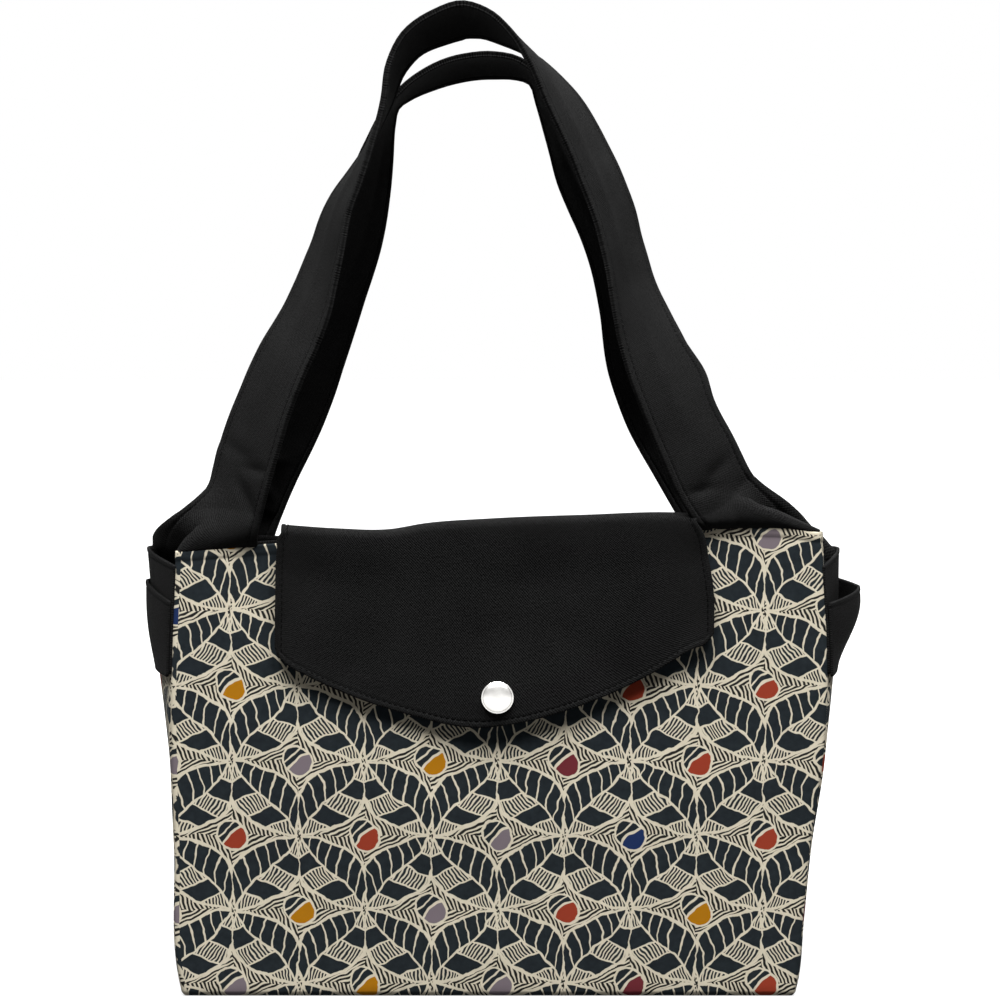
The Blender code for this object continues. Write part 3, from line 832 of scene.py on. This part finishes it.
def end_grid(side, bottom, top, rows, push, trim):
    """Grid over an end wall. push is its distance outside the wall's outer face."""
    share, v = np.linspace(-1, 1, BAND_COLUMNS), rows[:, None]
    depth = share * (HALF_DEPTH - trim)
    grid = end_point(side, depth, bottom(depth) + (top(depth) - bottom(depth)) * v, 0.0)
    grid[..., 0] += side * push(share, v)
    return grid[:, ::side]


def pocket_seam(depth):
    """Height of a pocket's bottom seam, a little lower on the fold."""
    return SEAM_HEIGHT - SEAM_DIP * ridge(depth)


def hemmed_rows(count, length):
    """Shares from 0 to 1, closer together about a hem at the end."""
    close = 1 - np.array([2.0, 1.5, 1.25, 1.0, 0.75, 0.5, 0.2, 0.0]) * HEM_STITCH / length
    return np.concatenate([np.linspace(0, close[0], count)[:-1], close])


def build_ends():
    """Black bands round the top of the end walls, each with a pocket sewn on it."""
    for side, name in ((-1, "left"), (1, "right")):
        opening, corner, fold, slant = POCKETS[side]
        rows = hemmed_rows(24, BAND_DROP)
        band = end_grid(side, lambda y: pocket_seam(y) + 0.0015, lambda y: rim_top(side, y),
                        rows, lambda share, v: -TWILL / 2 + 0.0002, 0.0006)
        relief = hem_relief((1 - rows) * BAND_DROP)[:, None]
        made = cloth(name + "_band_cloth", band, TWILL, relief=relief)
        finish_piece(made, BLACK, "root", name + "_side_band")

        def mouth(y):
            return corner + (fold - corner) * ridge(y) + slant * smooth(y / HALF_DEPTH)

        def push(share, v):
            open_up = smooth(v * 1.15) * opening * (1 - np.abs(share) ** 2.2)
            fullness = 0.0014 * np.sin(np.pi * v) * (1 - share ** 4)
            return TWILL / 2 + 0.0005 + open_up + fullness

        drop = fold - pocket_seam(0.0)
        rows = hemmed_rows(20, drop)
        below = (1 - rows) * drop
        pocket = end_grid(side, pocket_seam, mouth, rows, push, 0.0008)
        relief = (hem_relief(below) + hem_relief(drop - below))[:, None]
        made = cloth(name + "_pocket_cloth", pocket, TWILL, relief=relief)
        finish_piece(made, BLACK, "root", name + "_side_pocket")


# Lining: its floor, how far its rims stay under the panels' and the bands', and the facings' size
LINING_FLOOR = 0.0062
LINING_DROP = 0.034
LINING_RIM_DROP = 0.0035
FACING_COLUMNS = 110
FACING_REACH = 0.1750
FACING_DROP = 0.0415
FACING_PROUD = 0.0016


def build_lining():
    """Lining of the walls as one shell, its base, and the facings along the top edges."""
    inset = CANVAS + 0.0005 + LINING / 2
    tops = ring_tops(lambda x: front_top(x) - LINING_DROP, lambda x: back_top(x) - LINING_DROP,
                     lambda side, y: rim_top(side, y) - LINING_RIM_DROP)
    height = LINING_FLOOR + (tops - LINING_FLOOR) * np.linspace(0, 1, 30)[:, None]
    shell = cloth("lining_shell", ring(height, inset), LINING, closed=True)
    finish_piece(shell, LINING_CLOTH, "root",
                 "front_lining", "back_lining", "left_lining", "right_lining")
    x, y = floor_places(0.006, inset + 0.0015, 30, 12)
    z = 0.0052 + LINING / 2 + 0.0004 * np.abs(ripple(xyz(x, y, x), 0.04, 8))
    base = cloth("lining_base", xyz(x, -y, z)[:, ::-1], LINING)
    finish_piece(base, LINING_CLOTH, "root", "base_lining")

    x, rows = np.linspace(-FACING_REACH, FACING_REACH, FACING_COLUMNS), hemmed_rows(16, FACING_DROP)
    v = rows[:, None]
    relief = hem_relief((1 - rows) * FACING_DROP)[:, None]
    step = CANVAS + 0.0004 + TWILL / 2 + 0.0013 * (1 - smooth((v - 0.1) / 0.25))
    for side, name, top in ((-1, "front", front_top), (1, "back", back_top)):
        height = top(x) + FACING_PROUD - FACING_DROP * (1 - v)
        grid = face_point(side, x, height, step)[:, ::side]
        made = cloth(name + "_facing_cloth", grid, TWILL, relief=relief, under_relief=relief)
        finish_piece(made, BLACK, "root", name + "_facing")


build_shell()
build_base()
build_ends()
build_lining()


# Handles: inner edge from the left foot to the right one as (across, height, twist)
FRONT_LOOP = (
    (-0.1345, 0.2585, 16), (-0.1295, 0.2792, 32), (-0.1172, 0.3207, 42), (-0.1071, 0.3482, 46),
    (-0.0951, 0.3768, 52), (-0.0867, 0.4132, 62), (-0.0825, 0.4380, 69), (-0.0762, 0.4560, 76),
    (-0.0694, 0.4782, 86), (-0.0635, 0.4985, 92), (-0.0600, 0.5190, 99), (-0.0517, 0.5354, 106),
    (-0.0370, 0.5466, 111), (-0.0199, 0.5522, 112), (-0.0060, 0.5476, 107), (0.0060, 0.5358, 96),
    (0.0165, 0.5190, 79), (0.0251, 0.5000, 66), (0.0398, 0.4661, 59), (0.0516, 0.4371, 57),
    (0.0575, 0.4150, 57), (0.0615, 0.3930, 53), (0.0665, 0.3660, 39), (0.0760, 0.3360, 28),
    (0.0890, 0.3050, 22), (0.1010, 0.2790, 17), (0.1100, 0.2650, 12))
BACK_LOOP = (
    (-0.1345, 0.2490, 12), (-0.1215, 0.2810, 26), (-0.1055, 0.3147, 36), (-0.0900, 0.3591, 42),
    (-0.0795, 0.3897, 48), (-0.0712, 0.4180, 54), (-0.0658, 0.4480, 60), (-0.0632, 0.4740, 70),
    (-0.0618, 0.4905, 80), (-0.0590, 0.5005, 85), (-0.0515, 0.5060, 83), (-0.0371, 0.5119, 78),
    (-0.0206, 0.5161, 75), (-0.0037, 0.5175, 75), (0.0100, 0.5170, 79), (0.0175, 0.5145, 84),
    (0.0218, 0.5040, 84), (0.0280, 0.4838, 76), (0.0355, 0.4569, 65), (0.0533, 0.4132, 55),
    (0.0605, 0.3800, 48), (0.0660, 0.3450, 34), (0.0760, 0.3150, 21), (0.0924, 0.2850, 12),
    (0.1130, 0.2490, 6))
# Width and thickness of a handle, and the depth that its seam lies at
BAND = 0.042
BAND_THICK = 0.0026
SEAM_DEPTH = HALF_DEPTH - CANVAS / 2
# Feet: rows of a flare, how far it bulges, how far its seam hollows down and in at the corner, and
# the height at which the end wall is read for the seam
FAN_ROWS = 15
FAN_BULGE = {-1: 0.0030, 1: 0.0010}
FOOT_SINK = 0.0100
FOOT_INSET = 0.0110
SEAM_LEVEL = 0.2440
# Heights from the hinge given for a foot's bend with its handle; they are passed on, but nothing bends
# the foot
FOOT_BEND = (-0.004, 0.030)
# How far a leg's outer edge stands out at each height, left (-1) and right (1)
LEG_TRIM = {
    -1: ((0.2500, 0.0040), (0.2570, 0.0080), (0.2618, 0.0102), (0.2665, 0.0092), (0.2713, 0.0048),
         (0.2762, -0.0016), (0.2810, -0.0040), (0.2856, -0.0048), (0.2952, -0.0030), (0.3080, -0.0004),
         (0.3200, 0.0)),
    1: ((0.2500, 0.0010), (0.2570, 0.0040), (0.2640, 0.0070), (0.2705, 0.0072), (0.2770, 0.0045),
        (0.2850, -0.0022), (0.2900, -0.0018), (0.2980, 0.0), (0.3350, 0.0), (0.3500, 0.0028),
        (0.3650, 0.0))}
# How far the front (-1) and back (1) handles stand in over the bag at each share of their rise
LEG_LEAN = {
    -1: ((0.0, -0.0036), (0.05, -0.0068), (0.12, -0.0092), (0.20, -0.0098), (0.30, -0.0092),
         (0.42, -0.0060), (0.50, -0.0028), (0.62, 0.0018), (0.80, 0.0070), (1.0, 0.0110)),
    1: ((0.0, 0.0015), (0.06, 0.0028), (0.12, 0.0036), (0.20, 0.0036), (0.32, 0.0040), (0.50, 0.0085),
        (0.75, 0.0092), (1.0, 0.0110))}
# Rows along a handle's loop, how much they crowd to its ends, and what is left out at each end
STATIONS = 230
END_CROWDING = 0.5
LEG_START = 0.0020
# Passes that smooth the turn from leg to flare, over the rows on each side of it
SMOOTH_PASSES = 24
SMOOTH_ROWS = 10
# Puffed roll above each foot's seam: (place across, height of the valley over it)
ROLLS = {-1: ((0.1300, 0.0150), (0.1400, 0.0190), (0.1600, 0.0215), (0.1800, 0.0200)),
         1: ((0.1080, 0.0070), (0.1170, 0.0090), (0.1270, 0.0150), (0.1370, 0.0260),
             (0.1500, 0.0270), (0.1750, 0.0180))}
# How full the roll is for its height, and the place across where the feet start
ROLL_FULLNESS = 0.120
FOOT_START = 0.09
# Pinches of the feet: (across, height, half length, half width, slant in degrees, depth)
PINCHES = {-1: ((-0.1390, 0.2800, 0.0120, 0.0032, 65, 0.0020),
                (-0.1340, 0.2960, 0.0080, 0.0030, 8, 0.0014),
                (-0.1450, 0.3060, 0.0110, 0.0040, 30, 0.0010),
                (-0.1560, 0.2680, 0.0060, 0.0030, 80, 0.0008)),
           1: ((0.1120, 0.2850, 0.0085, 0.0030, 12, 0.0016),
               (0.1200, 0.2960, 0.0110, 0.0040, 48, 0.0014),
               (0.1300, 0.2720, 0.0060, 0.0026, 100, 0.0008))}
# Columns across a handle as shares of its width, closer together about its hems, and the stitched one
HEM_SHARES = np.array([0.0, 0.0009, 0.0017, 0.0023, 0.0027, 0.0031, 0.0036, 0.0044, 0.0056]) / BAND
ACROSS_SHARES = np.concatenate([HEM_SHARES, np.linspace(0.0072, BAND - 0.0072, 17) / BAND,
                                1 - HEM_SHARES[::-1]])
STITCH_COLUMN = 5


def foot_line(side, start, share, top):
    """Seam under a flared foot: along the panel's top edge, then round to the fold."""
    side_x = -1 if start < 0 else 1
    hollow = smooth((share - 0.52) / 0.20) * smooth((1 - share) / 0.17)
    inset = TWILL + 0.0019 + FOOT_INSET * hollow
    depth_at = SEAM_DEPTH - (SEAM_DEPTH - 0.0022) * np.clip(2 * share - 1, 0, 1) ** 1.5
    corner = end_point(side_x, SEAM_DEPTH, SEAM_LEVEL, 0.0)[0]
    along = start + (corner - side_x * inset - start) * np.clip(2 * share, 0, 1)
    round_end = end_point(side_x, depth_at, SEAM_LEVEL, 0.0)[:, 0] - side_x * inset
    across = np.where(share < 0.5, along, round_end)
    high = top(across) + 0.0004
    low = rim_top(side_x, depth_at) - 0.0016 - FOOT_SINK * hollow
    fall = smooth((SEAM_DEPTH - depth_at - 0.0015) / 0.010)
    return xyz(across, side * depth_at, high + (low - high) * fall)


def handle_grid(side, loop, top):
    """Middle surface of a handle: rows from its left foot over the top to its right one."""
    points = np.array(loop)
    run = so_far(np.linalg.norm(np.diff(points[:, :2], axis=0), axis=1))
    t = np.linspace(0, 1, STATIONS)
    t = t - END_CROWDING * np.sin(2 * np.pi * t) / (2 * np.pi)
    at = LEG_START + (run[-1] - 2 * LEG_START) * t
    across, height, twist = (curve(run, points[:, k], at) for k in range(3))
    twist = np.radians(twist)
    low, high = points[:, 1].min(), points[:, 1].max()
    lean = table(LEG_LEAN[side], (height - low) / (high - low))
    edge = xyz(across, side * (SEAM_DEPTH - lean), height)
    along = unit(np.gradient(edge, axis=0))
    outward = unit(xyz(-along[:, 2], 0.0, along[:, 0]))
    width = outward * np.cos(twist)[:, None]
    width[:, 1] -= side * np.sin(twist)
    share = ACROSS_SHARES
    legs = edge[:, None] + width[:, None] * (BAND * share)[:, None]
    trim = np.where(legs[:, :, 0] < 0, -table(LEG_TRIM[-1], legs[:, :, 2]),
                    table(LEG_TRIM[1], legs[:, :, 2]))
    legs[:, :, 0] += trim * share ** 2
    fans = []
    t = np.linspace(1, 0, FAN_ROWS + 1)[:-1, None]
    for side_x, first, line in ((-1, points[0, 0], legs[0]), (1, points[-1, 0], legs[-1])):
        seam = foot_line(side, first, share, top)
        bulge = FAN_BULGE[side_x] * 4 * t * (1 - t) * share ** 2
        fans.append(line + (seam - line) * t[..., None]
                    + bulge[..., None] * np.array([side_x * 0.6, 0.0, 0.8]))
    grid = np.concatenate([fans[0], legs, fans[1][::-1]])
    span = 2 * SMOOTH_ROWS - 1
    for _ in range(SMOOTH_PASSES):
        for start in (FAN_ROWS - SMOOTH_ROWS, len(grid) - FAN_ROWS - SMOOTH_ROWS - 1):
            block = slice(start + 1, start + span + 1)
            before, after = grid[start:start + span], grid[start + 2:start + span + 2]
            grid[block] = (before + 2 * grid[block] + after) / 4
    return grid[:, ::side]


def foot_folds(grid, share, top):
    """How far the feet's rolls and pinches move the cloth along its normal."""
    x, z = grid[..., 0], grid[..., 2]
    over_seam = z - top(x)
    moved = np.zeros(x.shape)
    for side_x in (-1, 1):
        valley = table(ROLLS[side_x], side_x * x)
        roll = ROLL_FULLNESS * valley * np.sin(np.pi * np.clip(over_seam / valley, 0.0, 1.0))
        moved += np.where(side_x * x > FOOT_START, roll, 0.0)
        for across, height, length, width, slant, depth in PINCHES[side_x]:
            cosine, sine = math.cos(math.radians(slant)), side_x * math.sin(math.radians(slant))
            along = (x - across) * cosine + (z - height) * sine
            beside = (z - height) * cosine - (x - across) * sine
            moved -= depth * np.exp(-(along / length) ** 2 - (beside / width) ** 2)
    return moved * smooth(share / 0.12)


def build_handle(name, side, loop, top, pivot):
    """A handle's cloth with its folds, and stitches along both hems of both faces."""
    grid = handle_grid(side, loop, top)
    share = ACROSS_SHARES[::side]
    along = running(grid, 0)[:, None]
    along = along / along[-1]
    soft = between(along, 0.05, 0.95, 0.10)
    cupping = (0.0004 + 0.0026 * np.exp(-((along - 0.5) / 0.09) ** 2)) * soft
    cup = cupping * (1 - (2 * share - 1) ** 2)
    unrest = ripple(grid, 0.05, 11 + side) * 0.0012 + ripple(grid, 0.018, 17 + side) * 0.0004
    crease_line = 0.42 + 0.10 * np.sin(along * 9.0 + side)
    crease = np.exp(-((share - crease_line) / 0.10) ** 2) * 0.0012
    crease = crease * (between(along, 0.55, 0.90, 0.08) + 0.6 * between(along, 0.12, 0.42, 0.08))
    feet = between(along, 0.0, 1.0, 0.035)
    feet = feet * (np.exp(-((along - 0.07) / 0.05) ** 2) + np.exp(-((along - 0.93) / 0.05) ** 2))
    folds = (ripple(grid * np.array([1.0, 1.0, 0.55]), 0.020, 41 + side) * 0.0014
             + ripple(grid, 0.038, 47 + side) * 0.0022) * feet * share ** 0.5
    folds = folds + foot_folds(grid, share, top)
    moved = cup + unrest * soft + crease * soft + folds
    grid = grid + normals_of(grid) * moved[..., None]
    away = np.minimum(share, 1 - share) * BAND
    relief = hem_relief(away, depth=0.0009, width=0.00055, swell=0.00045)[None]
    made = cloth(name + "_cloth", grid, BAND_THICK, relief=relief, under_relief=relief,
                 edge=DOUBLE_EDGE)
    blend = ("root", name, *((0.0, pivot.y, pivot.z + rise) for rise in FOOT_BEND))
    finish_piece(made, BLACK, blend, name)
    lines = []
    normal = normals_of(grid)
    for sign in (1, -1):
        face = grid + normal * (sign * (BAND_THICK / 2 - 0.0003))
        for column in (STITCH_COLUMN, -STITCH_COLUMN - 1):
            lines.append((face[3:-3, column], normal[3:-3, column] * sign))
    finish_piece(stitches(name + "_stitching", lines), THREAD_WITH_PAINTED_SHADE, blend)


build_handle("front_handle", -1, FRONT_LOOP, front_top, HINGES["front_handle_tip"])
build_handle("back_handle", 1, BACK_LOOP, back_top, HINGES["back_handle_tip"])


# Flap: one doubled cloth from the back panel, over the opening and down the front
FLAP_THICK = 0.0024
# Its fold and its lower edge as (across, height), and its sides as (share of the fall, across)
FLAP_TOP_LINE = ((-0.1201, 0.2661), (-0.0900, 0.2640), (-0.0601, 0.2636), (-0.0409, 0.2668),
                 (-0.0057, 0.2694), (0.0444, 0.2714), (0.1066, 0.2722), (0.1088, 0.2720))
FLAP_BOTTOM_LINE = ((-0.1235, 0.1985), (-0.1222, 0.1945), (-0.1195, 0.1912), (-0.1052, 0.1823),
                    (-0.0831, 0.1722), (-0.0477, 0.1605), (-0.0217, 0.1547), (-0.0079, 0.1541),
                    (0.0004, 0.1549), (0.0397, 0.1644), (0.0839, 0.1839), (0.1070, 0.1979),
                    (0.1150, 0.2018), (0.1180, 0.2062))
FLAP_LEFT = ((0.0, -0.1195), (0.02, -0.1205), (0.15, -0.1218), (0.6, -0.1231), (1.0, -0.1235))
FLAP_RIGHT = ((0.0, 0.1080), (0.06, 0.1105), (0.35, 0.1150), (0.65, 0.1178), (1.0, 0.1180))
FOLD_RADIUS = 0.0034
FLAP_COLUMNS = 121
# The strip on the back panel: its lower and upper end, and the bend above it
STRIP_BOTTOM = 0.222
STRIP_TOP = BACK_TOP - 0.0005
STRIP_BEND = 0.0058
# Rows down the flap's front, closer together about the hem
FALLS = np.concatenate([np.linspace(0, 0.90, 44), [0.93, 0.945, 0.955, 0.963, 0.970, 0.976, 0.982,
                                                   0.990, 0.996, 1.0]])[:, None]


def flap_grid():
    """Middle surface of the flap, rows from the strip on the back panel to its lower edge."""
    u = np.linspace(0, 1, FLAP_COLUMNS)
    u = 0.5 - 0.5 * np.cos(np.pi * u) * (0.35 + 0.65 * np.abs(np.cos(np.pi * u)) ** 0.2)
    x_top = FLAP_LEFT[0][1] + (FLAP_RIGHT[0][1] - FLAP_LEFT[0][1]) * u
    fold_top = table(FLAP_TOP_LINE, x_top) - FLAP_THICK / 2
    hang = HINGES["flap_lift"].y
    strip_y = HALF_DEPTH + 0.0010 + FLAP_THICK / 2
    v = np.linspace(0, 1, 12)[:, None]
    strip = xyz(x_top, strip_y, STRIP_BOTTOM + (STRIP_TOP - STRIP_BOTTOM) * v)
    angle = np.linspace(0, np.pi / 2, 7)[1:-1, None]
    run_start = xyz(x_top, strip_y - STRIP_BEND, STRIP_TOP + STRIP_BEND)
    back_bend = run_start + STRIP_BEND * xyz(0.0, np.cos(angle), np.sin(angle) - 1)
    run_end = xyz(x_top, hang + FOLD_RADIUS, fold_top)
    v = np.linspace(0, 1, 32)[:, None]
    top = run_start + (run_end - run_start) * v[..., None]
    top[..., 2] -= 0.0030 * np.sin(np.pi * v) ** 1.2 * (1 - 0.3 * np.cos(2 * np.pi * u))
    top[..., 2] += ripple(top, 0.05, 21) * 0.0014 * np.sin(np.pi * v)
    angle = np.linspace(0, np.pi / 2, 8)[1:-1, None]
    fold = run_end - FOLD_RADIUS * xyz(0.0, np.sin(angle), 1 - np.cos(angle))

    left, right = table(FLAP_LEFT, FALLS), table(FLAP_RIGHT, FALLS)
    x = left + (right - left) * u
    z_start = fold_top - FOLD_RADIUS
    lowest = FLAP_LEFT[-1][1] + (FLAP_RIGHT[-1][1] - FLAP_LEFT[-1][1]) * u
    z = z_start + (table(FLAP_BOTTOM_LINE, lowest) - z_start) * FALLS
    snap = np.exp(-(((x - SNAP_CENTRE.x) / 0.030) ** 2 + ((z - SNAP_CENTRE.z) / 0.024) ** 2))
    rest = -(HALF_DEPTH + BELLY + 0.0009 + FLAP_THICK / 2)
    settle = smooth(FALLS / 0.35)
    y = hang + (rest - hang) * settle * (1 - snap)
    y = y - np.abs(ripple(xyz(x, 0.0, z), 0.06, 31)) * 0.0010 * settle * (1 - snap)
    return np.concatenate([strip, back_bend, top, fold, xyz(x, y, z)])


def build_flap():
    """The flap's cloth, and the stitches down its sides and along its lower edge."""
    grid = flap_grid()[:, ::-1]
    rows, columns = grid.shape[:2]
    width, length = running(grid, 1), running(grid, 0)
    down = np.cumsum(np.linalg.norm(np.diff(grid, axis=0), axis=-1), axis=0)
    down = np.concatenate([np.zeros((1, columns)), down])
    distance = np.minimum(np.minimum(width, width[-1] - width), np.minimum(down[-1] - down, down))
    relief = hem_relief(distance, swell=0.0004)
    made = cloth("flap_cloth", grid, FLAP_THICK, relief=relief, under_relief=relief * 0.6,
                 edge=DOUBLE_EDGE)
    hinge = HINGES["flap_lift"]
    blend = ("root", "flap", (0.0, hinge.y + 0.012, hinge.z), (0.0, hinge.y, hinge.z - 0.008))
    finish_piece(made, BLACK, blend, "flap_top", "flap_front", "flap_top_lining", "flap_front_lining")
    normal = normals_of(grid)
    face = grid + normal * (FLAP_THICK / 2 + 0.0001)
    column = int(np.searchsorted(width, HEM_STITCH))
    row = rows - 1 - int(np.searchsorted((down[-1] - down)[::-1, columns // 2], HEM_STITCH))
    sides = (slice(row + 1), column), (row, slice(column, -column)), (slice(row + 1), -column - 1)
    thread = stitches("flap_stitching", [(face[part], normal[part]) for part in sides])
    finish_piece(thread, THREAD_WITH_PAINTED_SHADE, blend)


# Snap cap: rise of its dome over the seat, radius of its shank and rolled lip, sides all round
CAP_RISE = 0.0032
CAP_SHANK = 0.0016
CAP_LIP = 0.00045
CAP_SIDES = 72


def build_snap_cap():
    """Domed cap with a rolled lip, turned about Y."""
    radius = (CAP_HIGH.x - CAP_LOW.x) / 2
    base, seat = CAP_HIGH.y, CAP_LOW.y + CAP_RISE
    profile = [(0.0, base), (CAP_SHANK, base), (CAP_SHANK, seat), (radius * 0.93, seat)]
    for angle in np.linspace(-math.pi / 2, math.pi / 2, 9):
        profile.append((radius - CAP_LIP + CAP_LIP * math.cos(angle),
                        seat - CAP_LIP - CAP_LIP * math.sin(angle)))
    profile.append((radius * 0.925, seat - 0.00080))
    for angle in np.linspace(0.10, math.pi / 2, 14):
        profile.append((radius * 0.915 * math.cos(angle),
                        seat - 0.00075 - (CAP_RISE - 0.00075) * math.sin(angle)))
    points = []
    for out, y in profile:
        for k in range(CAP_SIDES):
            angle = 2 * math.pi * k / CAP_SIDES
            points.append((SNAP_CENTRE.x + out * math.cos(angle), y,
                           SNAP_CENTRE.z + out * math.sin(angle)))
    faces = [[b, a, d, c] for a, b, c, d in tube(0, len(profile), CAP_SIDES)]
    maps = [[(points[i][0], points[i][2]) for i in face] for face in faces]
    made = new_mesh("snap_dome", points, faces, maps, weld=True)
    finish_piece(made, (NICKEL, "snap_metal"), "flap", "snap_cap")


build_flap()
build_snap_cap()
for node, material in (("snap_socket", NICKEL), ("snap_stud", NICKEL), ("snap_post", NICKEL),
                       ("base_board", BOARD)):
    for slot in bpy.data.objects[node].material_slots:
        slot.material = material
